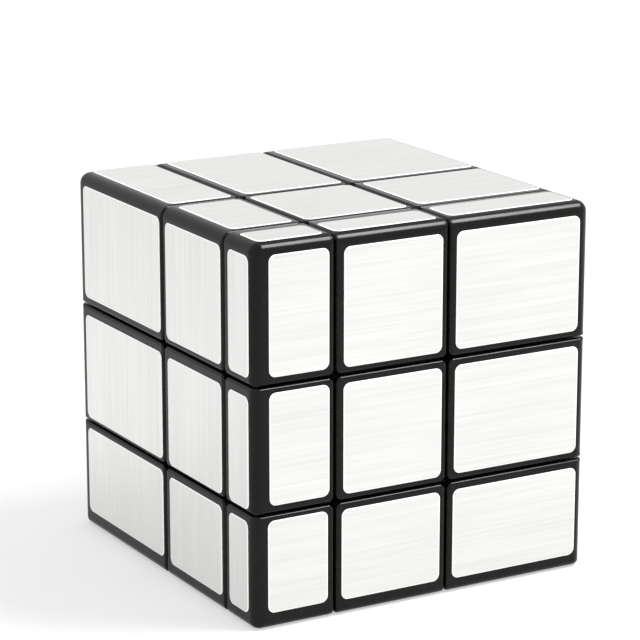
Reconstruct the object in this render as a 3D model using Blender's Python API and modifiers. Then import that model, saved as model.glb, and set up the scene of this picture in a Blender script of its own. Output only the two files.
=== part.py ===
"""A 3 x 3 x 3 mirror block cube: 26 blocks of different sizes round one core.

Metres, +Z up. The bottom of the cube is at z = 0 and its square outline is centred on
x = y = 0. The mechanism's centre is off the cube's middle, which is what makes every
layer a different thickness. Every object has its origin at that centre, which lies on
the axis of every joint.

Each turning layer is a solid of revolution about its own axis: everything beyond the
cut plane, and inside the foot cylinder also everything beyond the foot plane. Edges and
corners keep inside those shapes, so that they hook under their neighbours and still turn.
"""

import math
from itertools import product

import bmesh
import bpy
from mathutils import Vector

MM = 0.001

# Size of the cube; the middle layer is a third of it on every axis
SIDE = 57.0 * MM
HALF_PITCH = SIDE / 6
GAP = 0.3 * MM

# Thickness of the thinner outer layer on each axis
THIN_LAYERS = {
    "left": 13.3 * MM,
    "front": 9.0 * MM,
    "bottom": 17.2 * MM,
}
DIRECTIONS = {
    "left": (0, -1),
    "right": (0, 1),
    "front": (1, -1),
    "back": (1, 1),
    "bottom": (2, -1),
    "top": (2, 1),
}

# Rounded edges
GAP_ROUND = 0.55 * MM
OUTER_ROUND = 1.6 * MM
ROUND_SEGMENTS = 2

# Walls
WALL = 1.5 * MM
CAP_WALL = 1.4 * MM

# Turning surfaces, about each of the three axes
FOOT_RADIUS = 15.8 * MM
TRACK_RADIUS = 16.1 * MM
FOOT_PLANE = 4.45 * MM
FOOT_HALF_WIDTH = 4.15 * MM
TRACK_HALF_WIDTH = 4.2 * MM
CORE_ROOM_RADIUS = 9.0 * MM
TRACK_SEGMENTS = 48
CORE_ROOM_SEGMENTS = 24
CORE_ROOM_RINGS = 12

# Opening from an edge's hollow into the mechanism
VENT_RADIUS = 17.3 * MM
VENT_LOW = 5.0 * MM
VENT_HIGH = 7.4 * MM

# Centre bases
HUB_HALF_WIDTH = 4.15 * MM
HUB_LOW = 6.3 * MM
FLOOR_TOP = 7.8 * MM
BASE_TOP = 17.2 * MM
PLATE_LOW = 12.0 * MM
POCKET_RADIUS = 2.9 * MM
SHANK_HOLE_RADIUS = 1.6 * MM

# Cap posts
POST_RADIUS = 2.55 * MM
POST_LOW = 16.6 * MM
POST_INTO_ROOF = 0.6 * MM

# Core
BALL_RADIUS = 4.6 * MM
ARM_RADIUS = 3.1 * MM
ARM_LENGTH = 6.0 * MM
BORE_RADIUS = 1.25 * MM
BORE_LOW = 2.2 * MM

# Screws
SHANK_RADIUS = 1.1 * MM
SHANK_LOW = 2.5 * MM
HEAD_RADIUS = 2.3 * MM
HEAD_LOW = 14.3 * MM
HEAD_TOP = 16.2 * MM
HEAD_CHAMFER = 0.4 * MM
TIP_CHAMFER = 0.5 * MM
RECESS_LENGTH = 2.8 * MM
RECESS_WIDTH = 0.7 * MM
RECESS_DEPTH = 1.1 * MM

# Washers
WASHER_INNER = 1.35 * MM
WASHER_OUTER = 2.7 * MM
WASHER_LOW = 7.9 * MM
WASHER_TOP = 8.3 * MM

# Springs
WIRE_RADIUS = 0.275 * MM
COIL_RADIUS = 2.22 * MM
SPRING_LOW = 8.4 * MM
SPRING_TOP = 14.2 * MM
CLOSED_TURNS = 1.0
OPEN_TURNS = 3.0
CLOSED_PITCH = 0.62 * MM
POINTS_PER_TURN = 9

ROUND_SIDES = 24
SMALL_ROUND_SIDES = 16
FAR = 3 * SIDE
SMOOTH_ANGLE = math.radians(40)
MERGE = 0.00001


def face_distances():
    """How far each outer face stands from the mechanism's centre."""
    distances = {}
    for face, thickness in THIN_LAYERS.items():
        axis, sign = DIRECTIONS[face]
        distances[(axis, sign)] = HALF_PITCH + thickness
        distances[(axis, -sign)] = SIDE - HALF_PITCH - thickness
    return distances


DISTANCE = face_distances()
FACE_NAME = {direction: face for face, direction in DIRECTIONS.items()}
CENTRE = Vector(
    (
        DISTANCE[(0, -1)] - SIDE / 2,
        DISTANCE[(1, -1)] - SIDE / 2,
        DISTANCE[(2, -1)],
    )
)
INNER = HALF_PITCH + GAP / 2
MIDDLE = HALF_PITCH - GAP / 2


def clear_scene():
    for old in list(bpy.data.objects):
        bpy.data.objects.remove(old, do_unlink=True)


def new_collection(name, helper=False):
    collection = bpy.data.collections.new(name)
    bpy.context.scene.collection.children.link(collection)
    collection.hide_render = helper
    return collection


def plastic(name, colour, roughness, metallic=0.0):
    material = bpy.data.materials.new(name)
    material.use_nodes = True
    shader = material.node_tree.nodes["Principled BSDF"]
    shader.inputs["Base Color"].default_value = (*colour, 1.0)
    shader.inputs["Roughness"].default_value = roughness
    shader.inputs["Metallic"].default_value = metallic
    material.diffuse_color = (*colour, 1.0)
    return material


clear_scene()
PARTS = new_collection("mirror_block_cube")
CUTTERS = new_collection("cutters", helper=True)

SHELL_BLACK = plastic("shell_black_abs", (0.018, 0.017, 0.017), 0.35)
BODY_BLACK = plastic("body_black_abs", (0.035, 0.034, 0.036), 0.5)
CORE_WHITE = plastic("core_white_nylon", (0.72, 0.71, 0.68), 0.55)
STEEL = plastic("zinc_plated_steel", (0.62, 0.63, 0.65), 0.3, metallic=1.0)
SPRING_STEEL = plastic("spring_steel", (0.45, 0.46, 0.48), 0.25, metallic=1.0)


def add_object(name, data, material, helper=False):
    """An object at the mechanism's centre, in the collection it belongs to."""
    obj = bpy.data.objects.new(name, data)
    obj.location = CENTRE
    if helper:
        CUTTERS.objects.link(obj)
        obj.hide_render = True
        obj.display_type = "WIRE"
    else:
        PARTS.objects.link(obj)
    if material:
        data.materials.append(material)
    return obj


def mesh_object(name, bm, material=None, helper=False):
    mesh = bpy.data.meshes.new(name)
    bmesh.ops.recalc_face_normals(bm, faces=bm.faces)
    bm.to_mesh(mesh)
    bm.free()
    return add_object(name, mesh, material, helper)


def box_mesh(low, high):
    bm = bmesh.new()
    bmesh.ops.create_cube(bm, size=1.0)
    middle = (Vector(low) + Vector(high)) / 2
    size = Vector(high) - Vector(low)
    bmesh.ops.scale(bm, vec=size, verts=bm.verts)
    bmesh.ops.translate(bm, vec=middle, verts=bm.verts)
    return bm


def box_cutter(name, low, high):
    return mesh_object(name, box_mesh(low, high), helper=True)


def turn_to(axis, sign=1):
    """Rotation that takes +Z onto the given direction."""
    direction = Vector((0.0, 0.0, 0.0))
    direction[axis] = sign
    return direction.to_track_quat("Z", "Y")


def cylinder_cutter(name, axis, sign, radius, low, high, sides):
    bm = bmesh.new()
    bmesh.ops.create_cone(
        bm,
        cap_ends=True,
        segments=sides,
        radius1=radius,
        radius2=radius,
        depth=high - low,
    )
    bmesh.ops.translate(bm, vec=(0, 0, (low + high) / 2), verts=bm.verts)
    matrix = turn_to(axis, sign).to_matrix()
    bmesh.ops.transform(bm, matrix=matrix.to_4x4(), verts=bm.verts)
    return mesh_object(name, bm, helper=True)


def boolean(obj, other, operation):
    modifier = obj.modifiers.new(operation.lower() + "_" + other.name, "BOOLEAN")
    modifier.operation = operation
    modifier.solver = "EXACT"
    modifier.object = other
    return modifier


def cut(obj, *others):
    for other in others:
        boolean(obj, other, "DIFFERENCE")


def keep(obj, *others):
    for other in others:
        boolean(obj, other, "INTERSECT")


def join(obj, *others):
    for other in others:
        boolean(obj, other, "UNION")


def face_direction(face):
    normal = face.normal
    axis = max(range(3), key=lambda i: abs(normal[i]))
    return axis, int(math.copysign(1, normal[axis]))


def rounded_box(name, low, high, width_of, material=None, helper=False):
    """A box with each edge rounded by width_of(one face, the other face)."""
    bm = box_mesh(low, high)
    bmesh.ops.recalc_face_normals(bm, faces=bm.faces)
    bm.normal_update()
    weight = bm.edges.layers.float.new("bevel_weight_edge")
    for edge in bm.edges:
        first, second = (face_direction(face) for face in edge.link_faces)
        edge[weight] = width_of(first, second) / OUTER_ROUND
    obj = mesh_object(name, bm, material, helper)
    bevel = obj.modifiers.new("rounded_edges", "BEVEL")
    bevel.width = OUTER_ROUND
    bevel.segments = ROUND_SEGMENTS
    bevel.limit_method = "WEIGHT"
    bevel.use_clamp_overlap = True
    return obj


def block_rounding(outer):
    """Wide rounding where two outer faces meet, narrow on every other edge."""

    def width_of(first, second):
        if first in outer and second in outer:
            return OUTER_ROUND
        return GAP_ROUND

    return width_of


def shade_round(obj):
    """Smooth shading that keeps edges sharper than SMOOTH_ANGLE."""
    for polygon in obj.data.polygons:
        polygon.use_smooth = True
    obj.data.set_sharp_from_angle(angle=SMOOTH_ANGLE)


def span(signs, near, far_of, extra=0.0):
    """Low and high corner of a block.

    signs holds -1, 0 or 1 for each axis; 0 is the middle layer.
    """
    low = [0.0, 0.0, 0.0]
    high = [0.0, 0.0, 0.0]
    for axis, sign in enumerate(signs):
        if sign == 0:
            low[axis] = -MIDDLE - extra
            high[axis] = MIDDLE + extra
        else:
            ends = sorted((sign * near, sign * far_of(axis, sign)))
            low[axis], high[axis] = ends
    return low, high


def outer_faces(signs):
    return {(axis, sign) for axis, sign in enumerate(signs) if sign}


def block_name(signs):
    order = (2, 1, 0)
    return "_".join(FACE_NAME[(axis, signs[axis])] for axis in order if signs[axis])


# ---- Cutters shared by every piece -------------------------------------------------

FOOT_BOUNDS = [
    cylinder_cutter(f"foot_bound_{axis}", axis, 1, FOOT_RADIUS, -SIDE, SIDE, TRACK_SEGMENTS)
    for axis in range(3)
]
TRACKS = {
    (axis, sign): cylinder_cutter(
        f"track_{FACE_NAME[(axis, sign)]}",
        axis,
        sign,
        TRACK_RADIUS,
        TRACK_HALF_WIDTH,
        SIDE,
        TRACK_SEGMENTS,
    )
    for axis, sign in FACE_NAME
}
VENTS = {
    (axis, sign): cylinder_cutter(
        f"vent_{FACE_NAME[(axis, sign)]}",
        axis,
        sign,
        VENT_RADIUS,
        VENT_LOW,
        VENT_HIGH,
        TRACK_SEGMENTS,
    )
    for axis, sign in FACE_NAME
}


def core_room():
    bm = bmesh.new()
    bmesh.ops.create_uvsphere(
        bm,
        u_segments=CORE_ROOM_SEGMENTS,
        v_segments=CORE_ROOM_RINGS,
        radius=CORE_ROOM_RADIUS,
    )
    return mesh_object("core_room", bm, helper=True)


CORE_ROOM = core_room()


def foot(signs):
    """The hook under the neighbouring centres: inside every turning cylinder."""
    low, high = span(signs, FOOT_PLANE, lambda axis, sign: TRACK_RADIUS)
    for axis, sign in enumerate(signs):
        if sign == 0:
            low[axis] = -FOOT_HALF_WIDTH
            high[axis] = FOOT_HALF_WIDTH
    obj = box_cutter("foot_" + block_name(signs), low, high)
    keep(obj, *(FOOT_BOUNDS[axis] for axis, sign in enumerate(signs) if sign))
    cut(obj, CORE_ROOM)
    return obj


# ---- Bodies that move together -----------------------------------------------------


def body_frame(name, parent=None):
    """An empty at the mechanism's centre, on the axes of all the joints."""
    frame = bpy.data.objects.new(name + "_frame", None)
    frame.empty_display_size = HALF_PITCH
    PARTS.objects.link(frame)
    if parent:
        frame.parent = parent
    else:
        frame.location = CENTRE
    return frame


def attach(obj, frame):
    """Puts a piece made at the centre under a frame at the centre."""
    obj.location = (0.0, 0.0, 0.0)
    obj.parent = frame


CORE_FRAME = body_frame("core")
LAYER_FRAMES = {
    1: body_frame("top_layer", CORE_FRAME),
    0: CORE_FRAME,
    -1: body_frame("bottom_layer", CORE_FRAME),
}


# ---- Corners -----------------------------------------------------------------------


def corner(signs):
    name = block_name(signs)
    outer = outer_faces(signs)
    rounding = block_rounding(outer)

    low, high = span(signs, INNER, lambda axis, sign: DISTANCE[(axis, sign)])
    shell = rounded_box("corner_shell_" + name, low, high, rounding, SHELL_BLACK)
    hollow = span(signs, 0.0, lambda axis, sign: DISTANCE[(axis, sign)] - WALL)
    cut(shell, box_cutter("shell_hollow_" + name, *hollow))

    reach = WALL + GAP
    low, high = span(signs, INNER, lambda axis, sign: DISTANCE[(axis, sign)] - reach)

    def inner_rounding(first, second):
        inner = first not in outer and second not in outer
        return GAP_ROUND if inner else 0.0

    body = rounded_box("corner_body_" + name, low, high, inner_rounding, BODY_BLACK)
    join(body, foot(signs))
    hollow = span(signs, INNER + WALL, lambda axis, sign: DISTANCE[(axis, sign)])
    cut(body, box_cutter("body_hollow_" + name, *hollow))

    for obj in (shell, body):
        shade_round(obj)
        attach(obj, LAYER_FRAMES[signs[2]])


# ---- Edges -------------------------------------------------------------------------


def edge(signs):
    name = block_name(signs)
    own_axis = signs.index(0)
    low, high = span(signs, INNER, lambda axis, sign: DISTANCE[(axis, sign)])
    rounding = block_rounding(outer_faces(signs))
    obj = rounded_box("edge_" + name, low, high, rounding, SHELL_BLACK)
    join(obj, foot(signs))
    hollow = span(
        signs,
        INNER + WALL,
        lambda axis, sign: DISTANCE[(axis, sign)] - WALL,
        extra=-WALL,
    )
    cut(obj, box_cutter("edge_hollow_" + name, *hollow))
    for sign in (-1, 1):
        cut(obj, TRACKS[(own_axis, sign)], VENTS[(own_axis, sign)])
    shade_round(obj)
    attach(obj, LAYER_FRAMES[signs[2]])


# ---- Centres -----------------------------------------------------------------------


def centre_span(axis, sign, half_width, near, far):
    low = [-half_width] * 3
    high = [half_width] * 3
    low[axis], high[axis] = sorted((sign * near, sign * far))
    return low, high


def centre_base(axis, sign, frame):
    name = FACE_NAME[(axis, sign)]

    def side_rounding(first, second):
        return GAP_ROUND if axis not in (first[0], second[0]) else 0.0

    low, high = centre_span(axis, sign, MIDDLE, PLATE_LOW, BASE_TOP)
    obj = rounded_box("centre_base_" + name, low, high, side_rounding, BODY_BLACK)
    for other in range(3):
        if other != axis:
            cut(obj, TRACKS[(other, -1)], TRACKS[(other, 1)])
    hub = centre_span(axis, sign, HUB_HALF_WIDTH, HUB_LOW, BASE_TOP - GAP)
    join(obj, box_cutter("hub_" + name, *hub))
    pocket = (POCKET_RADIUS, FLOOR_TOP, SIDE, ROUND_SIDES)
    cut(obj, cylinder_cutter("pocket_" + name, axis, sign, *pocket))
    hole = (SHANK_HOLE_RADIUS, 0.0, BASE_TOP - GAP, SMALL_ROUND_SIDES)
    cut(obj, cylinder_cutter("shank_hole_" + name, axis, sign, *hole))
    shade_round(obj)
    attach(obj, frame)


def centre_cap(axis, sign, frame):
    name = FACE_NAME[(axis, sign)]
    top = DISTANCE[(axis, sign)]
    bottom = BASE_TOP + GAP

    def cap_rounding(first, second):
        facing_core = (axis, -sign) in (first, second)
        return 0.0 if facing_core else GAP_ROUND

    low, high = centre_span(axis, sign, MIDDLE, bottom, top)
    obj = rounded_box("centre_cap_" + name, low, high, cap_rounding, SHELL_BLACK)
    roof = top - CAP_WALL
    if roof > bottom + GAP:
        hollow = centre_span(axis, sign, MIDDLE - CAP_WALL, 0.0, roof)
        cut(obj, box_cutter("cap_hollow_" + name, *hollow))
    post_top = top - POST_INTO_ROOF
    post = (POST_RADIUS, POST_LOW, post_top, SMALL_ROUND_SIDES)
    join(obj, cylinder_cutter("post_" + name, axis, sign, *post))
    shade_round(obj)
    attach(obj, frame)


# ---- Core, screws, washers, springs ------------------------------------------------


def lathe(name, profile, axis, sign, material, sides, closed):
    """Turns a profile of (radius, height) points about the given direction."""
    bm = bmesh.new()
    verts = [bm.verts.new((radius, 0.0, height)) for radius, height in profile]
    for first, second in zip(verts, verts[1:]):
        bm.edges.new((first, second))
    if closed:
        bm.edges.new((verts[-1], verts[0]))
    mesh = bpy.data.meshes.new(name)
    bm.to_mesh(mesh)
    bm.free()
    obj = add_object(name, mesh, material)
    obj.rotation_mode = "QUATERNION"
    obj.rotation_quaternion = turn_to(axis, sign)
    screw = obj.modifiers.new("turned", "SCREW")
    screw.steps = sides
    screw.render_steps = sides
    screw.use_merge_vertices = True
    screw.merge_threshold = MERGE
    screw.use_normal_calculate = True
    screw.use_normal_flip = closed
    screw.use_smooth_shade = True
    return obj


def recess_bar(name, length, width, axis, sign):
    bm = box_mesh(
        (-length / 2, -width / 2, HEAD_TOP - RECESS_DEPTH),
        (length / 2, width / 2, HEAD_TOP + RECESS_DEPTH),
    )
    matrix = turn_to(axis, sign).to_matrix()
    bmesh.ops.transform(bm, matrix=matrix.to_4x4(), verts=bm.verts)
    return mesh_object(name, bm, helper=True)


def tension_screw(axis, sign):
    name = FACE_NAME[(axis, sign)]
    profile = (
        (0.0, SHANK_LOW),
        (SHANK_RADIUS - TIP_CHAMFER, SHANK_LOW),
        (SHANK_RADIUS, SHANK_LOW + TIP_CHAMFER),
        (SHANK_RADIUS, HEAD_LOW),
        (HEAD_RADIUS, HEAD_LOW),
        (HEAD_RADIUS, HEAD_TOP - HEAD_CHAMFER),
        (HEAD_RADIUS - HEAD_CHAMFER, HEAD_TOP),
        (0.0, HEAD_TOP),
    )
    obj = lathe("screw_" + name, profile, axis, sign, STEEL, ROUND_SIDES, closed=False)
    cut(obj, recess_bar("slot_a_" + name, RECESS_LENGTH, RECESS_WIDTH, axis, sign))
    cut(obj, recess_bar("slot_b_" + name, RECESS_WIDTH, RECESS_LENGTH, axis, sign))
    attach(obj, CORE_FRAME)


def washer(axis, sign, frame):
    profile = (
        (WASHER_INNER, WASHER_TOP),
        (WASHER_OUTER, WASHER_TOP),
        (WASHER_OUTER, WASHER_LOW),
        (WASHER_INNER, WASHER_LOW),
    )
    name = "washer_" + FACE_NAME[(axis, sign)]
    obj = lathe(name, profile, axis, sign, STEEL, ROUND_SIDES, closed=True)
    attach(obj, frame)


def coil_height(turn):
    """Height of the wire after so many turns: a closed coil at each end."""
    low = SPRING_LOW + WIRE_RADIUS
    rise = SPRING_TOP - SPRING_LOW - 2 * WIRE_RADIUS
    open_rise = rise - 2 * CLOSED_TURNS * CLOSED_PITCH
    first = min(turn, CLOSED_TURNS) * CLOSED_PITCH
    middle = min(max(turn - CLOSED_TURNS, 0.0), OPEN_TURNS) * open_rise / OPEN_TURNS
    last = max(turn - CLOSED_TURNS - OPEN_TURNS, 0.0) * CLOSED_PITCH
    return low + first + middle + last


def spring(axis, sign):
    name = "spring_" + FACE_NAME[(axis, sign)]
    curve = bpy.data.curves.new(name, "CURVE")
    curve.dimensions = "3D"
    curve.bevel_depth = WIRE_RADIUS
    curve.bevel_resolution = 1
    curve.use_fill_caps = True
    turns = 2 * CLOSED_TURNS + OPEN_TURNS
    count = int(turns * POINTS_PER_TURN) + 1
    spline = curve.splines.new("POLY")
    spline.points.add(count - 1)
    for i, point in enumerate(spline.points):
        turn = i / POINTS_PER_TURN
        angle = turn * math.tau
        x = COIL_RADIUS * math.cos(angle)
        y = COIL_RADIUS * math.sin(angle)
        point.co = (x, y, coil_height(turn), 1.0)
    obj = add_object(name, curve, SPRING_STEEL)
    obj.rotation_mode = "QUATERNION"
    obj.rotation_quaternion = turn_to(axis, sign)
    attach(obj, CORE_FRAME)


def core():
    bm = bmesh.new()
    bmesh.ops.create_uvsphere(
        bm,
        u_segments=CORE_ROOM_SEGMENTS,
        v_segments=CORE_ROOM_RINGS,
        radius=BALL_RADIUS,
    )
    obj = mesh_object("core", bm, CORE_WHITE)
    for axis, sign in FACE_NAME:
        arm = (ARM_RADIUS, 0.0, ARM_LENGTH, ROUND_SIDES)
        name = "arm_" + FACE_NAME[(axis, sign)]
        join(obj, cylinder_cutter(name, axis, sign, *arm))
    for axis, sign in FACE_NAME:
        bore = (BORE_RADIUS, BORE_LOW, SIDE, SMALL_ROUND_SIDES)
        name = "bore_" + FACE_NAME[(axis, sign)]
        cut(obj, cylinder_cutter(name, axis, sign, *bore))
    shade_round(obj)
    attach(obj, CORE_FRAME)


# ---- The whole puzzle --------------------------------------------------------------

core()
for axis, sign in FACE_NAME:
    parent = LAYER_FRAMES[sign] if axis == 2 else CORE_FRAME
    frame = body_frame("centre_" + FACE_NAME[(axis, sign)], parent)
    centre_base(axis, sign, frame)
    centre_cap(axis, sign, frame)
    washer(axis, sign, frame)
    spring(axis, sign)
    tension_screw(axis, sign)

for signs in product((-1, 0, 1), repeat=3):
    middles = signs.count(0)
    if middles == 0:
        corner(signs)
    elif middles == 1:
        edge(signs)
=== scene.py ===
import math
from itertools import product

import bmesh
import bpy
from mathutils import Matrix, Vector


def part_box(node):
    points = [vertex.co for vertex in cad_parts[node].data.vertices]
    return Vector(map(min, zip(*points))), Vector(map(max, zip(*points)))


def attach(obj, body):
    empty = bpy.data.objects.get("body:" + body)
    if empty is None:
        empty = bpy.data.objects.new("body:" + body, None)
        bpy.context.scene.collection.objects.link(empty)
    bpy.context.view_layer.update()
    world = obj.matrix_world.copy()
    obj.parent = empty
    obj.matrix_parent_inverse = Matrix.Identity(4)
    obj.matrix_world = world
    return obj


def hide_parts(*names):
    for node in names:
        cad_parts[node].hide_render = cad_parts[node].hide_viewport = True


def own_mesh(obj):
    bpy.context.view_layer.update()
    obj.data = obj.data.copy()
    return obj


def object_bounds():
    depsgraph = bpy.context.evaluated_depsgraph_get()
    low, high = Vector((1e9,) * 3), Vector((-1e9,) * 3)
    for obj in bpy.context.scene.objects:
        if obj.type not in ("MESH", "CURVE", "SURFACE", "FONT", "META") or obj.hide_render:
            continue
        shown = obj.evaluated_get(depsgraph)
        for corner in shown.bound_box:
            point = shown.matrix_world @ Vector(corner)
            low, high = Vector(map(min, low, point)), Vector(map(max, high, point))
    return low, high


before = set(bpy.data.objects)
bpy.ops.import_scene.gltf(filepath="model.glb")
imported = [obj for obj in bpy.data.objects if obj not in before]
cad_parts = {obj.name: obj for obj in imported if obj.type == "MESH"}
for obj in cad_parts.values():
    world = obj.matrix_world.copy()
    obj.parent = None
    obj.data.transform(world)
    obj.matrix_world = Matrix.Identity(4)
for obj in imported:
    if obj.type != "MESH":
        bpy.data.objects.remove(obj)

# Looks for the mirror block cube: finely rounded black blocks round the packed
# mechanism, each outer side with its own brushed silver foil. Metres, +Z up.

MM = 0.001
CAD_BOX = [list(corner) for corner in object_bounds()]

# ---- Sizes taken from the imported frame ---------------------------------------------

CORE_LOW, CORE_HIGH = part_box("core")
CENTRE = (CORE_LOW + CORE_HIGH) / 2
LOW, HIGH = (Vector(corner) for corner in CAD_BOX)
DIRECTIONS = {
    "left": (0, -1),
    "right": (0, 1),
    "front": (1, -1),
    "back": (1, 1),
    "bottom": (2, -1),
    "top": (2, 1),
}
FACE_NAME = {direction: face for face, direction in DIRECTIONS.items()}
DISTANCE = {
    (axis, sign): (HIGH[axis] - CENTRE[axis]) if sign > 0 else (CENTRE[axis] - LOW[axis])
    for axis, sign in FACE_NAME
}
CAP_LOW, CAP_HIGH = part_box("centre_cap_front")
MIDDLE = (CAP_HIGH.x - CAP_LOW.x) / 2
GAP = 0.3 * MM
INNER = MIDDLE + GAP

# Rounded edges
GAP_ROUND = 0.55 * MM
CROSS_ROUND = 1.1 * MM
BOTTOM_ROUND = 1.0 * MM
OUTER_ROUND = 1.7 * MM
ROUND_SEGMENTS = 6

# The mechanism's surfaces, as in the solids
WALL = 1.5 * MM
CAP_WALL = 1.4 * MM
FOOT_RADIUS = 15.8 * MM
TRACK_RADIUS = 16.1 * MM
FOOT_PLANE = 4.45 * MM
FOOT_HALF_WIDTH = 4.15 * MM
TRACK_HALF_WIDTH = 4.2 * MM
CORE_ROOM_RADIUS = 9.0 * MM
TRACK_SEGMENTS = 96
VENT_RADIUS = 17.3 * MM
VENT_LOW = 5.0 * MM
VENT_HIGH = 7.4 * MM
HUB_LOW = 6.3 * MM
FLOOR_TOP = 7.8 * MM
BASE_TOP = 17.2 * MM
PLATE_LOW = 12.0 * MM
POCKET_RADIUS = 2.9 * MM
SHANK_HOLE_RADIUS = 1.6 * MM
POST_RADIUS = 2.55 * MM
POST_LOW = 16.6 * MM
POST_INTO_ROOF = 0.6 * MM
ROUND_SIDES = 32
ROOM_SEGMENTS = 48
ROOM_RINGS = 24

# Foils
FOIL_THICKNESS = 0.12 * MM
FOIL_LIFT = 0.01 * MM
FOIL_GAP_INSET = 0.87 * MM
FOIL_OUTER_INSET = 1.75 * MM
FOIL_NEAR_INSET = 2.28 * MM
FOIL_BOTTOM_INSET = 2.1 * MM
FOIL_TOP_SIDE_INSET = 1.35 * MM
FOIL_CORNER = 1.05 * MM
FOIL_CHAMFER = 0.07 * MM
FOIL_RIM = 0.15 * MM
CORNER_POINTS = 8

# How much further in the sides of each foil that the photograph shows stand than the usual
# margin, in mm: low and high side on the face's first axis, then on its second. Measured from
# the photograph; the foils are stuck on by hand.
NO_SHIFT = (0.0, 0.0, 0.0, 0.0)
FOIL_SHIFTS = {
    ((-1, -1, -1), 1): (-0.15, 0.3, 0.25, -0.1),
    ((-1, -1, 0), 1): (0.15, 0.05, 0.3, -0.05),
    ((-1, -1, 1), 1): (0.15, 0.1, 0.3, 0.0),
    ((0, -1, -1), 1): (0.0, 0.2, 0.05, 0.2),
    ((0, -1, 0), 1): (0.25, 0.1, 0.1, 0.2),
    ((0, -1, 1), 1): (0.3, 0.15, 0.1, 0.25),
    ((1, -1, -1), 1): (0.05, -0.1, -0.1, 0.3),
    ((1, -1, 0), 1): (0.15, 0.0, 0.15, 0.2),
    ((1, -1, 1), 1): (0.2, 0.2, 0.15, 0.25),
    ((-1, -1, -1), 0): (0.2, 0.35, 0.0, 0.2),
    ((-1, -1, 0), 0): (-0.1, 0.4, -0.4, 0.65),
    ((-1, -1, 1), 0): (-0.3, 0.55, 0.15, 0.2),
    ((-1, 0, -1), 0): (-0.15, 0.55, 0.1, 0.2),
    ((-1, 0, 0), 0): (-0.3, 0.45, -0.35, 0.65),
    ((-1, 0, 1), 0): (-0.35, 0.2, 0.1, 0.25),
    ((-1, 1, -1), 0): (-0.4, 0.65, 0.35, -0.05),
    ((-1, 1, 0), 0): (-0.45, 0.65, -0.2, 0.5),
    ((-1, 1, 1), 0): (-0.35, 0.65, 0.35, 0.0),
    ((-1, -1, 1), 2): (0.0, 0.2, -0.2, 1.0),
    ((-1, 0, 1), 2): (0.5, 0.2, -0.2, 0.3),
    ((-1, 1, 1), 2): (0.55, -0.05, -0.3, 0.15),
    ((0, -1, 1), 2): (-0.4, 0.2, -0.15, 0.95),
    ((0, 0, 1), 2): (-0.25, -0.05, -0.3, -0.2),
    ((0, 1, 1), 2): (0.35, -0.35, 0.1, 0.15),
    ((1, -1, 1), 2): (-0.05, 0.5, 0.2, 0.1),
    ((1, 0, 1), 2): (0.3, 0.45, 0.3, -0.3),
    ((1, 1, 1), 2): (0.5, 0.4, 0.1, 0.3),
}

SMOOTH_ANGLE = math.radians(35)


# ---- Node-tree helpers -------------------------------------------------------------

# Places of the Mix node's colour sockets
MIX_COLOUR_A = 6
MIX_COLOUR_B = 7
MIX_COLOUR_RESULT = 2


def new_material(name):
    material = bpy.data.materials.new(name)
    material.use_nodes = True
    tree = material.node_tree
    return material, tree, tree.nodes["Principled BSDF"]


def add_node(tree, kind, **settings):
    node = tree.nodes.new(kind)
    for key, value in settings.items():
        setattr(node, key, value)
    return node


def mapped(tree, scale, rotation=(0.0, 0.0, 0.0)):
    """Object coordinates stretched by scale, per metre."""
    coordinates = add_node(tree, "ShaderNodeTexCoord")
    mapping = add_node(tree, "ShaderNodeMapping")
    mapping.inputs["Scale"].default_value = scale
    mapping.inputs["Rotation"].default_value = rotation
    tree.links.new(coordinates.outputs["Object"], mapping.inputs["Vector"])
    return mapping.outputs["Vector"]


def noise(tree, vector, scale, detail=3.0, roughness=0.5, distortion=0.0):
    node = add_node(tree, "ShaderNodeTexNoise")
    node.inputs["Scale"].default_value = scale
    node.inputs["Detail"].default_value = detail
    node.inputs["Roughness"].default_value = roughness
    node.inputs["Distortion"].default_value = distortion
    tree.links.new(vector, node.inputs["Vector"])
    return node.outputs["Fac"]


def ramp(tree, factor, stops):
    """A colour ramp through (position, colour) stops."""
    node = add_node(tree, "ShaderNodeValToRGB")
    elements = node.color_ramp.elements
    while len(elements) < len(stops):
        elements.new(1.0)
    for element, (position, colour) in zip(elements, stops):
        element.position = position
        element.color = (*colour, 1.0)
    tree.links.new(factor, node.inputs["Fac"])
    return node.outputs["Color"]


def value_range(tree, factor, low, high, from_low=0.0, from_high=1.0):
    node = add_node(tree, "ShaderNodeMapRange")
    node.inputs["From Min"].default_value = from_low
    node.inputs["From Max"].default_value = from_high
    node.inputs["To Min"].default_value = low
    node.inputs["To Max"].default_value = high
    tree.links.new(factor, node.inputs["Value"])
    return node.outputs["Result"]


def mix_values(tree, operation, first, second):
    node = add_node(tree, "ShaderNodeMath", operation=operation)
    for socket, value in zip(node.inputs, (first, second)):
        if isinstance(value, float):
            socket.default_value = value
        else:
            tree.links.new(value, socket)
    return node.outputs["Value"]


def weighted_sum(tree, first, first_share, second, second_share):
    first_part = mix_values(tree, "MULTIPLY", first, first_share)
    second_part = mix_values(tree, "MULTIPLY", second, second_share)
    return mix_values(tree, "ADD", first_part, second_part)


def bump(tree, height, distance, strength, normal=None):
    node = add_node(tree, "ShaderNodeBump")
    node.inputs["Distance"].default_value = distance
    node.inputs["Strength"].default_value = strength
    tree.links.new(height, node.inputs["Height"])
    if normal:
        tree.links.new(normal, node.inputs["Normal"])
    return node.outputs["Normal"]


# ---- Materials ---------------------------------------------------------------------

# Foil: shares of the broad brush lines and of all lines, and colours from dull to bright
BROAD_SHARE = 0.55
LINES_SHARE = 0.8
FOIL_COLOURS = (
    (0.38, (0.71, 0.712, 0.696)),
    (0.5, (0.756, 0.758, 0.74)),
    (0.62, (0.795, 0.797, 0.779)),
)

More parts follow.
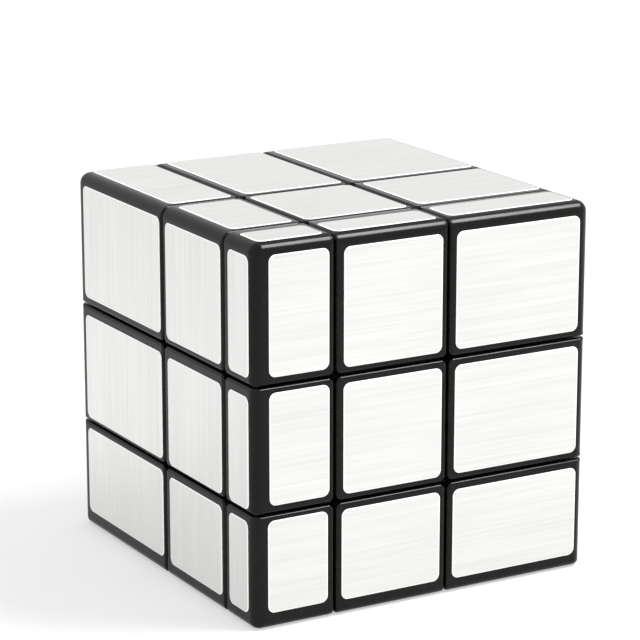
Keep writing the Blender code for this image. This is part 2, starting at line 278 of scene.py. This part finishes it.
# Heights of the marks in each surface
FOIL_FINE_MARK = 0.01 * MM
FOIL_BROAD_MARK = 0.015 * MM
SMALL_MARK = 0.01 * MM
MOULD_WAVE = 0.04 * MM
SHELL_GRAIN = 0.002 * MM
BODY_GRAIN = 0.006 * MM


def moulded_plastic(name, dark, light, edge_sheen_colour, rough_low, rough_high, grain):
    """Moulded ABS: faint cloudy colour, satin patches, fine grain, and a painted sheen:
    rounded edges coloured paler in patches.
    """
    material, tree, shader = new_material(name)
    vector = mapped(tree, (1.0, 1.0, 1.0))
    cloud = noise(tree, vector, 120.0, 4.0, 0.6)
    base = ramp(tree, cloud, ((0.3, dark), (0.7, light)))

    # Painted sheen: the rounded edges (high pointiness) are coloured paler, broken up by noise
    # patches.
    geometry = add_node(tree, "ShaderNodeNewGeometry")
    edges = value_range(tree, geometry.outputs["Pointiness"], 0.0, 1.0, 0.52, 0.62)
    sheen_patches = noise(tree, vector, 900.0, 5.0, 0.65)
    painted_edge_sheen = mix_values(tree, "MULTIPLY", edges, value_range(tree, sheen_patches, 0.0, 1.0, 0.45, 0.7))
    mix = add_node(tree, "ShaderNodeMix", data_type="RGBA")
    tree.links.new(painted_edge_sheen, mix.inputs["Factor"])
    tree.links.new(base, mix.inputs[MIX_COLOUR_A])
    mix.inputs[MIX_COLOUR_B].default_value = (*edge_sheen_colour, 1.0)
    tree.links.new(mix.outputs[MIX_COLOUR_RESULT], shader.inputs["Base Color"])

    satin = noise(tree, vector, 260.0, 4.0, 0.6)
    rough = value_range(tree, satin, rough_low, rough_high, 0.3, 0.7)
    tree.links.new(rough, shader.inputs["Roughness"])
    shader.inputs["IOR"].default_value = 1.52
    shader.inputs["Specular IOR Level"].default_value = 0.17
    fine = noise(tree, vector, 5200.0, 2.0, 0.5)
    wave = noise(tree, vector, 170.0, 2.0, 0.5)
    normal = bump(tree, fine, grain, 0.25)
    normal = bump(tree, wave, MOULD_WAVE, 0.35, normal)
    tree.links.new(normal, shader.inputs["Normal"])
    return material


def brushed_foil(name, axis_along, axis_across):
    """Silver foil with fine slightly wavy brush lines along one axis."""
    material, tree, shader = new_material(name)

    def stretched(along, across):
        scale = [1.0, 1.0, 1.0]
        scale[axis_along] = along
        scale[axis_across] = across
        return mapped(tree, scale)

    broad = noise(tree, stretched(26.0, 1900.0), 1.0, 3.0, 0.55, 0.15)
    fine = noise(tree, stretched(70.0, 4200.0), 1.0, 4.0, 0.6, 0.1)
    patches = noise(tree, stretched(45.0, 160.0), 1.0, 2.0, 0.5)
    lines = weighted_sum(tree, broad, BROAD_SHARE, fine, 1 - BROAD_SHARE)
    both = weighted_sum(tree, lines, LINES_SHARE, patches, 1 - LINES_SHARE)
    tree.links.new(ramp(tree, both, FOIL_COLOURS), shader.inputs["Base Color"])
    shader.inputs["Metallic"].default_value = 0.95
    tree.links.new(value_range(tree, lines, 0.38, 0.28, 0.3, 0.7), shader.inputs["Roughness"])
    shader.inputs["Anisotropic"].default_value = 0.6
    tangent = add_node(tree, "ShaderNodeTangent", direction_type="RADIAL")
    tangent.axis = "XYZ"[axis_across]
    tree.links.new(tangent.outputs["Tangent"], shader.inputs["Tangent"])
    normal = bump(tree, fine, FOIL_FINE_MARK, 0.35)
    normal = bump(tree, broad, FOIL_BROAD_MARK, 0.3, normal)
    tree.links.new(normal, shader.inputs["Normal"])
    return material


def painted_rim_highlight():
    """The foil's die-cut rim, coloured near white: a painted highlight along each foil's edge.
    """
    material, tree, shader = new_material("foil_rim_painted_highlight")
    vector = mapped(tree, (1.0, 1.0, 1.0))
    speck = noise(tree, vector, 1500.0, 3.0, 0.6)
    colour = ramp(tree, speck, ((0.3, (0.93, 0.93, 0.92)), (0.6, (0.99, 0.99, 0.985))))
    tree.links.new(colour, shader.inputs["Base Color"])
    rough = value_range(tree, speck, 0.25, 0.45, 0.3, 0.7)
    tree.links.new(rough, shader.inputs["Roughness"])
    tree.links.new(bump(tree, speck, SMALL_MARK, 0.2), shader.inputs["Normal"])
    return material


def metal(name, dark, light, rough_low, rough_high):
    """Plated or drawn steel with faint stains and fine marks."""
    material, tree, shader = new_material(name)
    vector = mapped(tree, (1.0, 1.0, 1.0))
    stain = noise(tree, vector, 600.0, 4.0, 0.6)
    tree.links.new(ramp(tree, stain, ((0.3, dark), (0.7, light))), shader.inputs["Base Color"])
    shader.inputs["Metallic"].default_value = 1.0
    rough = value_range(tree, stain, rough_high, rough_low, 0.3, 0.7)
    tree.links.new(rough, shader.inputs["Roughness"])
    marks = noise(tree, vector, 4000.0, 3.0, 0.6)
    tree.links.new(bump(tree, marks, SMALL_MARK, 0.3), shader.inputs["Normal"])
    return material


def nylon():
    material, tree, shader = new_material("core_nylon")
    vector = mapped(tree, (1.0, 1.0, 1.0))
    cloud = noise(tree, vector, 300.0, 4.0, 0.6)
    colour = ramp(tree, cloud, ((0.3, (0.66, 0.64, 0.6)), (0.7, (0.76, 0.75, 0.72))))
    tree.links.new(colour, shader.inputs["Base Color"])
    tree.links.new(value_range(tree, cloud, 0.45, 0.6, 0.3, 0.7), shader.inputs["Roughness"])
    shader.inputs["Subsurface Weight"].default_value = 0.1
    shader.inputs["Subsurface Scale"].default_value = 1.0 * MM
    marks = noise(tree, vector, 3000.0)
    tree.links.new(bump(tree, marks, SMALL_MARK, 0.3), shader.inputs["Normal"])
    return material


SHELL_PLASTIC = moulded_plastic(
    "shell_plastic",
    dark=(0.0026, 0.0022, 0.0018),
    light=(0.005, 0.0043, 0.0036),
    # paler colour of the painted sheen on the rounded edges
    edge_sheen_colour=(0.04, 0.037, 0.034),
    rough_low=0.16,
    rough_high=0.24,
    grain=SHELL_GRAIN,
)
BODY_PLASTIC = moulded_plastic(
    "body_plastic",
    dark=(0.014, 0.0135, 0.014),
    # paler colour of the painted sheen on the rounded edges
    light=(0.024, 0.023, 0.024),
    edge_sheen_colour=(0.06, 0.058, 0.058),
    rough_low=0.36,
    rough_high=0.5,
    grain=BODY_GRAIN,
)
ZINC = metal("zinc_plated", (0.5, 0.51, 0.53), (0.68, 0.69, 0.71), 0.22, 0.4)
SPRING_WIRE = metal("spring_wire", (0.34, 0.35, 0.37), (0.5, 0.51, 0.53), 0.2, 0.35)
NYLON = nylon()
FOIL_RIM_HIGHLIGHT = painted_rim_highlight()
# The axis that the brush lines follow, by the axis that the foil faces
BRUSH_ALONG = {0: 2, 1: 0, 2: 0}
FOILS = {
    normal: brushed_foil(f"brushed_foil_{'xyz'[normal]}", along, 3 - normal - along)
    for normal, along in BRUSH_ALONG.items()
}


# ---- Mesh helpers ------------------------------------------------------------------


def link_mesh(name, bm, material=None):
    mesh = bpy.data.meshes.new(name)
    bmesh.ops.recalc_face_normals(bm, faces=bm.faces)
    bm.to_mesh(mesh)
    bm.free()
    obj = bpy.data.objects.new(name, mesh)
    bpy.context.scene.collection.objects.link(obj)
    if material:
        mesh.materials.append(material)
    return obj


def box_mesh(low, high):
    bm = bmesh.new()
    bmesh.ops.create_cube(bm, size=1.0)
    middle = (Vector(low) + Vector(high)) / 2
    bmesh.ops.scale(bm, vec=Vector(high) - Vector(low), verts=bm.verts)
    bmesh.ops.translate(bm, vec=middle, verts=bm.verts)
    return bm


HELPERS = []


def helper(name, bm):
    obj = link_mesh(name, bm)
    obj.hide_render = True
    HELPERS.append(obj)
    return obj


def box_cutter(name, low, high):
    return helper(name, box_mesh(low, high))


def turn_to(axis, sign=1):
    direction = Vector((0.0, 0.0, 0.0))
    direction[axis] = sign
    return direction.to_track_quat("Z", "Y")


def cylinder_cutter(name, axis, sign, radius, low, high, sides):
    bm = bmesh.new()
    bmesh.ops.create_cone(
        bm, cap_ends=True, segments=sides, radius1=radius, radius2=radius, depth=high - low
    )
    bmesh.ops.translate(bm, vec=(0, 0, (low + high) / 2), verts=bm.verts)
    bmesh.ops.transform(bm, matrix=turn_to(axis, sign).to_matrix().to_4x4(), verts=bm.verts)
    return helper(name, bm)


def boolean(obj, others, operation):
    for other in others:
        modifier = obj.modifiers.new(operation, "BOOLEAN")
        modifier.operation = operation
        modifier.solver = "EXACT"
        modifier.object = other


def face_direction(face):
    axis = max(range(3), key=lambda i: abs(face.normal[i]))
    return axis, int(math.copysign(1, face.normal[axis]))


def rounded_box(name, low, high, width_of, material):
    """A box with each edge rounded by width_of(one face, the other face)."""
    bm = box_mesh(low, high)
    bmesh.ops.recalc_face_normals(bm, faces=bm.faces)
    bm.normal_update()
    weight = bm.edges.layers.float.new("bevel_weight_edge")
    for edge in bm.edges:
        first, second = (face_direction(face) for face in edge.link_faces)
        edge[weight] = width_of(first, second) / OUTER_ROUND
    obj = link_mesh(name, bm, material)
    bevel = obj.modifiers.new("rounded", "BEVEL")
    bevel.width = OUTER_ROUND
    bevel.segments = ROUND_SEGMENTS
    bevel.limit_method = "WEIGHT"
    return obj


def finish_mesh(obj):
    """Applies the modifiers, then smooth shading with flat faces kept flat."""
    graph = bpy.context.evaluated_depsgraph_get()
    mesh = bpy.data.meshes.new_from_object(obj.evaluated_get(graph))
    obj.modifiers.clear()
    old = obj.data
    obj.data = mesh
    bpy.data.meshes.remove(old)
    mesh.name = obj.name
    mesh.transform(Matrix.Translation(CENTRE))
    for polygon in mesh.polygons:
        polygon.use_smooth = True
        polygon.material_index = 0
    mesh.set_sharp_from_angle(angle=SMOOTH_ANGLE)
    weighted = obj.modifiers.new("flat_faces", "WEIGHTED_NORMAL")
    weighted.keep_sharp = True
    weighted.weight = 100


def span(signs, near, far_of, extra=0.0):
    """Low and high corner of a block about the centre; 0 is the middle layer."""
    low = [0.0, 0.0, 0.0]
    high = [0.0, 0.0, 0.0]
    for axis, sign in enumerate(signs):
        if sign == 0:
            low[axis], high[axis] = -MIDDLE - extra, MIDDLE + extra
        else:
            low[axis], high[axis] = sorted((sign * near, sign * far_of(axis, sign)))
    return low, high


def outer_faces(signs):
    return {(axis, sign) for axis, sign in enumerate(signs) if sign}


def block_name(signs):
    return "_".join(FACE_NAME[(axis, signs[axis])] for axis in (2, 1, 0) if signs[axis])


def body_of(signs):
    """The body that a block belongs to, by its place."""
    if signs.count(0) == 2:
        axis = next(i for i in range(3) if signs[i])
        return FACE_NAME[(axis, signs[axis])] + "_centre"
    return {1: "top_layer", 0: "core", -1: "bottom_layer"}[signs[2]]


def block_rounding(outer):
    """Widths by how many of an edge's two faces are outer ones."""
    widths = (CROSS_ROUND, GAP_ROUND, OUTER_ROUND)

    def width_of(first, second):
        both_outer = first in outer and second in outer
        if both_outer and DIRECTIONS["bottom"] in (first, second):
            return BOTTOM_ROUND
        return widths[(first in outer) + (second in outer)]

    return width_of


# ---- Cutters shared by the blocks --------------------------------------------------

FAR = 2 * (HIGH.x - LOW.x)
FOOT_BOUNDS = [
    cylinder_cutter(f"foot_bound_{axis}", axis, 1, FOOT_RADIUS, -FAR, FAR, TRACK_SEGMENTS)
    for axis in range(3)
]
TRACKS = {
    (axis, sign): cylinder_cutter(
        "track", axis, sign, TRACK_RADIUS, TRACK_HALF_WIDTH, FAR, TRACK_SEGMENTS
    )
    for axis, sign in FACE_NAME
}
VENTS = {
    (axis, sign): cylinder_cutter(
        "vent", axis, sign, VENT_RADIUS, VENT_LOW, VENT_HIGH, TRACK_SEGMENTS
    )
    for axis, sign in FACE_NAME
}
ROOM = bmesh.new()
bmesh.ops.create_uvsphere(
    ROOM, u_segments=ROOM_SEGMENTS, v_segments=ROOM_RINGS, radius=CORE_ROOM_RADIUS
)
CORE_ROOM = helper("core_room", ROOM)


def foot(signs):
    low, high = span(signs, FOOT_PLANE, lambda axis, sign: TRACK_RADIUS)
    for axis, sign in enumerate(signs):
        if sign == 0:
            low[axis], high[axis] = -FOOT_HALF_WIDTH, FOOT_HALF_WIDTH
    obj = box_cutter("foot", low, high)
    boolean(obj, [FOOT_BOUNDS[axis] for axis, sign in enumerate(signs) if sign], "INTERSECT")
    boolean(obj, [CORE_ROOM], "DIFFERENCE")
    return obj


def outer_plane(axis, sign):
    return DISTANCE[(axis, sign)]


# ---- Blocks ------------------------------------------------------------------------


def put_in_place(obj, node, body):
    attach(obj, body)
    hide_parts(node)


def make_corner(signs):
    name = block_name(signs)
    outer = outer_faces(signs)
    low, high = span(signs, INNER, outer_plane)
    shell = rounded_box("shell_" + name, low, high, block_rounding(outer), SHELL_PLASTIC)
    hollow = span(signs, 0.0, lambda axis, sign: outer_plane(axis, sign) - WALL)
    boolean(shell, [box_cutter("hollow", *hollow)], "DIFFERENCE")

    def inner_rounding(first, second):
        return CROSS_ROUND if first not in outer and second not in outer else 0.0

    reach = WALL + GAP
    low, high = span(signs, INNER, lambda axis, sign: outer_plane(axis, sign) - reach)
    inner = rounded_box("inner_" + name, low, high, inner_rounding, BODY_PLASTIC)
    hollow = span(signs, INNER + WALL, outer_plane)
    boolean(inner, [box_cutter("hollow", *hollow)], "DIFFERENCE")
    boolean(inner, [foot(signs)], "UNION")
    return (
        (shell, "corner_shell_" + name, "shell_black"),
        (inner, "corner_body_" + name, "body_black"),
    )


def make_edge(signs):
    name = block_name(signs)
    own_axis = signs.index(0)
    low, high = span(signs, INNER, outer_plane)
    rounding = block_rounding(outer_faces(signs))
    obj = rounded_box("block_" + name, low, high, rounding, SHELL_PLASTIC)
    boolean(obj, [foot(signs)], "UNION")
    hollow = span(
        signs, INNER + WALL, lambda axis, sign: outer_plane(axis, sign) - WALL, extra=-WALL
    )
    boolean(obj, [box_cutter("hollow", *hollow)], "DIFFERENCE")
    for sign in (-1, 1):
        boolean(obj, [TRACKS[(own_axis, sign)], VENTS[(own_axis, sign)]], "DIFFERENCE")
    return ((obj, "edge_" + name, "shell_black"),)


def centre_span(axis, sign, half_width, near, far):
    low = [-half_width] * 3
    high = [half_width] * 3
    low[axis], high[axis] = sorted((sign * near, sign * far))
    return low, high


def make_centre(signs):
    axis = next(i for i in range(3) if signs[i])
    sign = signs[axis]
    name = FACE_NAME[(axis, sign)]
    top = DISTANCE[(axis, sign)]

    def side_rounding(first, second):
        return CROSS_ROUND if axis not in (first[0], second[0]) else 0.0

    low, high = centre_span(axis, sign, MIDDLE, PLATE_LOW, BASE_TOP)
    base = rounded_box("base_" + name, low, high, side_rounding, BODY_PLASTIC)
    for other in range(3):
        if other != axis:
            boolean(base, [TRACKS[(other, -1)], TRACKS[(other, 1)]], "DIFFERENCE")
    hub = centre_span(axis, sign, FOOT_HALF_WIDTH, HUB_LOW, BASE_TOP - GAP)
    boolean(base, [box_cutter("hub", *hub)], "UNION")
    pocket = cylinder_cutter("pocket", axis, sign, POCKET_RADIUS, FLOOR_TOP, FAR, ROUND_SIDES)
    hole = cylinder_cutter("hole", axis, sign, SHANK_HOLE_RADIUS, 0.0, BASE_TOP, ROUND_SIDES)
    boolean(base, [pocket, hole], "DIFFERENCE")

    def cap_rounding(first, second):
        if (axis, -sign) in (first, second):
            return 0.0
        return GAP_ROUND if (axis, sign) in (first, second) else CROSS_ROUND

    bottom = BASE_TOP + GAP
    low, high = centre_span(axis, sign, MIDDLE, bottom, top)
    cap = rounded_box("cap_" + name, low, high, cap_rounding, SHELL_PLASTIC)
    roof = top - CAP_WALL
    if roof > bottom + GAP:
        hollow = centre_span(axis, sign, MIDDLE - CAP_WALL, 0.0, roof)
        boolean(cap, [box_cutter("hollow", *hollow)], "DIFFERENCE")
    post = cylinder_cutter(
        "post", axis, sign, POST_RADIUS, POST_LOW, top - POST_INTO_ROOF, ROUND_SIDES
    )
    boolean(cap, [post], "UNION")
    return (
        (base, "centre_base_" + name, "body_black"),
        (cap, "centre_cap_" + name, "shell_black"),
    )


MAKERS = {0: make_corner, 1: make_edge, 2: make_centre}
PLACES = [signs for signs in product((-1, 0, 1), repeat=3) if signs.count(0) < 3]
made = []
for place in PLACES:
    for piece, node, slot_name in MAKERS[place.count(0)](place):
        made.append((piece, node, body_of(place), slot_name))
bpy.context.view_layer.update()
for piece, *_ in made:
    finish_mesh(piece)
for cutter in HELPERS:
    bpy.data.objects.remove(cutter, do_unlink=True)
for piece, node, body, slot_name in made:
    put_in_place(piece, node, body)


# ---- Foils -------------------------------------------------------------------------


def side_inset(face_axis, face_sign, side_axis, side_sign, is_gap):
    """How far a foil's side stands in from its block's flat outline."""
    if is_gap:
        return FOIL_GAP_INSET
    if face_axis == 2:
        return FOIL_TOP_SIDE_INSET
    if side_axis == 2:
        return FOIL_OUTER_INSET if side_sign > 0 else FOIL_BOTTOM_INSET
    if (face_axis, side_axis, side_sign) == (1, 0, -1):
        return FOIL_NEAR_INSET
    return FOIL_OUTER_INSET


def foil_outline(u_low, u_high, v_low, v_high, radius):
    """Rounded rectangle, anticlockwise from the lower right corner."""
    points = []
    corners = (
        (u_high - radius, v_low + radius, -90),
        (u_high - radius, v_high - radius, 0),
        (u_low + radius, v_high - radius, 90),
        (u_low + radius, v_low + radius, 180),
    )
    for u, v, start in corners:
        for i in range(CORNER_POINTS + 1):
            angle = math.radians(start + 90 * i / CORNER_POINTS)
            points.append((u + radius * math.cos(angle), v + radius * math.sin(angle)))
    return points


def make_foil(signs, axis):
    sign = signs[axis]
    u_axis, v_axis = (i for i in range(3) if i != axis)
    limits = []
    shifts = iter(FOIL_SHIFTS.get((tuple(signs), axis), NO_SHIFT))
    for side_axis in (u_axis, v_axis):
        low, high = span(signs, INNER, outer_plane)
        ends = []
        for side_sign, end in ((-1, low[side_axis]), (1, high[side_axis])):
            is_gap = signs[side_axis] != side_sign
            inset = side_inset(axis, sign, side_axis, side_sign, is_gap) + next(shifts) * MM
            ends.append(end - side_sign * inset)
        limits.append(ends)
    (u_low, u_high), (v_low, v_high) = limits
    bottom = DISTANCE[(axis, sign)] + FOIL_LIFT
    shoulder = bottom + FOIL_THICKNESS - FOIL_CHAMFER
    top = bottom + FOIL_THICKNESS
    bm = bmesh.new()
    rings = []
    for height, inset in ((bottom, 0.0), (shoulder, 0.0), (top, FOIL_RIM)):
        ring = []
        outline = foil_outline(
            u_low + inset, u_high - inset, v_low + inset, v_high - inset, FOIL_CORNER - inset
        )
        for u, v in outline:
            point = [0.0, 0.0, 0.0]
            point[axis] = sign * height
            point[u_axis] = u
            point[v_axis] = v
            ring.append(bm.verts.new(point))
        rings.append(ring)
    count = len(rings[0])
    for lower, upper in zip(rings, rings[1:]):
        for i in range(count):
            j = (i + 1) % count
            face = bm.faces.new((lower[i], lower[j], upper[j], upper[i]))
            face.material_index = 1
    bm.faces.new(rings[-1])
    under = bm.faces.new(list(reversed(rings[0])))
    under.material_index = 1
    bmesh.ops.translate(bm, vec=CENTRE, verts=bm.verts)
    name = "foil_" + block_name(signs) + "_on_" + FACE_NAME[(axis, sign)]
    obj = link_mesh(name, bm, FOILS[axis])
    # Second slot: the near-white painted highlight on the foil's rim.
    obj.data.materials.append(FOIL_RIM_HIGHLIGHT)
    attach(obj, body_of(signs))
    return obj


for place in PLACES:
    for face_axis in range(3):
        if place[face_axis]:
            make_foil(place, face_axis)


# ---- Inner pieces that keep the frame's shape --------------------------------------

NODE_MATERIALS = {
    "screw": ZINC,
    "washer": ZINC,
    "spring": SPRING_WIRE,
    "core": NYLON,
}
for node_name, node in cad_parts.items():
    kind = node_name.split("_")[0]
    if kind in NODE_MATERIALS:
        node.data.materials.clear()
        node.data.materials.append(NODE_MATERIALS[kind])


# ---- Springs, copied from the frame and carried with the core ----------------------


def make_spring(face):
    axis, sign = DIRECTIONS[face]
    node = "spring_" + face
    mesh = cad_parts[node].data.copy()
    spring = bpy.data.objects.new("shortening_" + node, mesh)
    bpy.context.scene.collection.objects.link(spring)
    mesh.materials.clear()
    mesh.materials.append(SPRING_WIRE)
    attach(spring, "core")
    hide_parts(node)
    low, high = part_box(node)
    held_end = list((low + high) / 2)
    held_end[axis] = (high if sign > 0 else low)[axis]
    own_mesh(spring)


for spring_face in DIRECTIONS:
    make_spring(spring_face)


# ---- Floor, light, camera ----------------------------------------------------------

FLOOR_SIZE = 4.0
FLOOR_DROP = 0.15 * MM
FLOOR_GREY = (0.4, 0.4, 0.4)
FLOOR_ROUGHNESS = 0.9
FLOOR_GLOW = 0.49


def make_floor():
    bm = bmesh.new()
    bmesh.ops.create_grid(bm, x_segments=1, y_segments=1, size=FLOOR_SIZE)
    material, _, shader = new_material("studio_floor")
    shader.inputs["Base Color"].default_value = (*FLOOR_GREY, 1.0)
    shader.inputs["Roughness"].default_value = FLOOR_ROUGHNESS
    shader.inputs["Emission Color"].default_value = (1.0, 1.0, 1.0, 1.0)
    shader.inputs["Emission Strength"].default_value = FLOOR_GLOW
    floor = link_mesh("floor", bm, material)
    floor.location.z = -FLOOR_DROP


def area_light(name, place, aim, along, size, power):
    """A soft rectangle facing aim; its first side lies along the given direction."""
    data = bpy.data.lights.new(name, "AREA")
    data.shape = "RECTANGLE"
    data.size, data.size_y = size
    data.energy = power
    light = bpy.data.objects.new(name, data)
    bpy.context.scene.collection.objects.link(light)
    light.location = place
    back = (Vector(place) - Vector(aim)).normalized()
    side = (Vector(along) - back * back.dot(Vector(along))).normalized()
    turn = Matrix((side, back.cross(side), back)).transposed()
    light.rotation_mode = "QUATERNION"
    light.rotation_quaternion = turn.to_quaternion()


def make_world():
    world = bpy.data.worlds.new("studio")
    bpy.context.scene.world = world
    world.use_nodes = True
    background = world.node_tree.nodes["Background"]
    background.inputs["Color"].default_value = (1.0, 1.0, 1.0, 1.0)
    background.inputs["Strength"].default_value = 1.0


make_floor()
make_world()
area_light(
    "key",
    place=(0.312, -0.2, 0.56),
    aim=(0, 0, 0.03),
    along=(0.0, 0.88, 0.47),
    size=(0.3, 0.18),
    power=4.2,
)

AZIMUTH = math.radians(-29.97)
ELEVATION = math.radians(15.29)
DISTANCE_TO_CAMERA = 0.4384
CAMERA_TARGET = Vector((-0.95 * MM, 1.28 * MM, 32.76 * MM))
SENSOR = 36.0
LENS = 160.228125
SHIFT_X = 0.003125
SHIFT_Y = 0.029375
CLIP_START = 0.01
CLIP_END = 20.0


def make_camera():
    data = bpy.data.cameras.new("camera")
    camera = bpy.data.objects.new("camera", data)
    bpy.context.scene.collection.objects.link(camera)
    back = Vector(
        (
            math.sin(AZIMUTH) * math.cos(ELEVATION),
            -math.cos(AZIMUTH) * math.cos(ELEVATION),
            math.sin(ELEVATION),
        )
    )
    camera.location = CAMERA_TARGET + back * DISTANCE_TO_CAMERA
    camera.rotation_mode = "QUATERNION"
    camera.rotation_quaternion = (-back).to_track_quat("-Z", "Y")
    data.sensor_width = SENSOR
    data.lens = LENS
    data.shift_x = SHIFT_X
    data.shift_y = SHIFT_Y
    data.clip_start = CLIP_START
    data.clip_end = CLIP_END
    bpy.context.scene.camera = camera


make_camera()
bpy.context.scene.view_settings.view_transform = "Standard"
